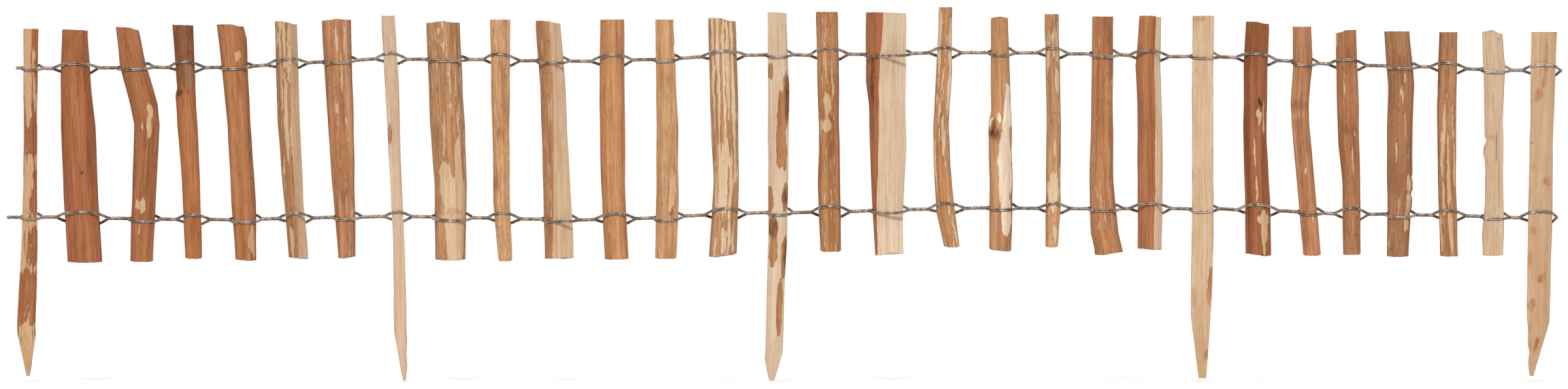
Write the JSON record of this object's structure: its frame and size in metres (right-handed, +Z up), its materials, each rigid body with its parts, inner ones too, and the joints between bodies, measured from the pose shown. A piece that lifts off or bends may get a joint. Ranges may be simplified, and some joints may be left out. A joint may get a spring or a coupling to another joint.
{
  "type": "hazel garden edging",
  "caption": "Low garden edging: cleft hazel stakes and longer pointed posts in a row, held apart and bound together by lines of twisted galvanised wire.",
  "frame": {"origin": "middle of the blunt tip of the centre post", "axes": "+X along the row to the right as seen from the front, +Y through the row from front to back, +Z up"},
  "size_m": [2.0023, 0.0364, 0.481],
  "materials": {
    "brown_bark_wood": "dry weathered bark",
    "pale_split_wood": "dry split wood",
    "galvanised_wire": "dull galvanised"
  },
  "bodies": {
    "root": {"left_end_post": "pale_split_wood", "stake_01": "brown_bark_wood", "stake_02": "brown_bark_wood", "stake_03": "brown_bark_wood", "stake_04": "brown_bark_wood", "stake_05": "brown_bark_wood", "stake_06": "brown_bark_wood", "left_middle_post": "pale_split_wood", "stake_07": "brown_bark_wood", "stake_08": "brown_bark_wood", "stake_09": "brown_bark_wood", "stake_10": "brown_bark_wood", "stake_11": "brown_bark_wood", "stake_12": "brown_bark_wood", "centre_post": "pale_split_wood", "stake_13": "brown_bark_wood", "stake_14": "brown_bark_wood", "stake_15": "brown_bark_wood", "stake_16": "brown_bark_wood", "stake_17": "brown_bark_wood", "stake_18": "brown_bark_wood", "stake_19": "brown_bark_wood", "right_middle_post": "pale_split_wood", "stake_20": "brown_bark_wood", "stake_21": "brown_bark_wood", "stake_22": "brown_bark_wood", "stake_23": "brown_bark_wood", "stake_24": "brown_bark_wood", "stake_25": "pale_split_wood", "right_end_post": "pale_split_wood", "upper_wire_1": "galvanised_wire", "upper_wire_2": "galvanised_wire", "upper_wire_3": "galvanised_wire", "upper_wire_4": "galvanised_wire", "lower_wire_1": "galvanised_wire", "lower_wire_2": "galvanised_wire", "lower_wire_3": "galvanised_wire", "lower_wire_4": "galvanised_wire"}
  },
  "joints": []
}
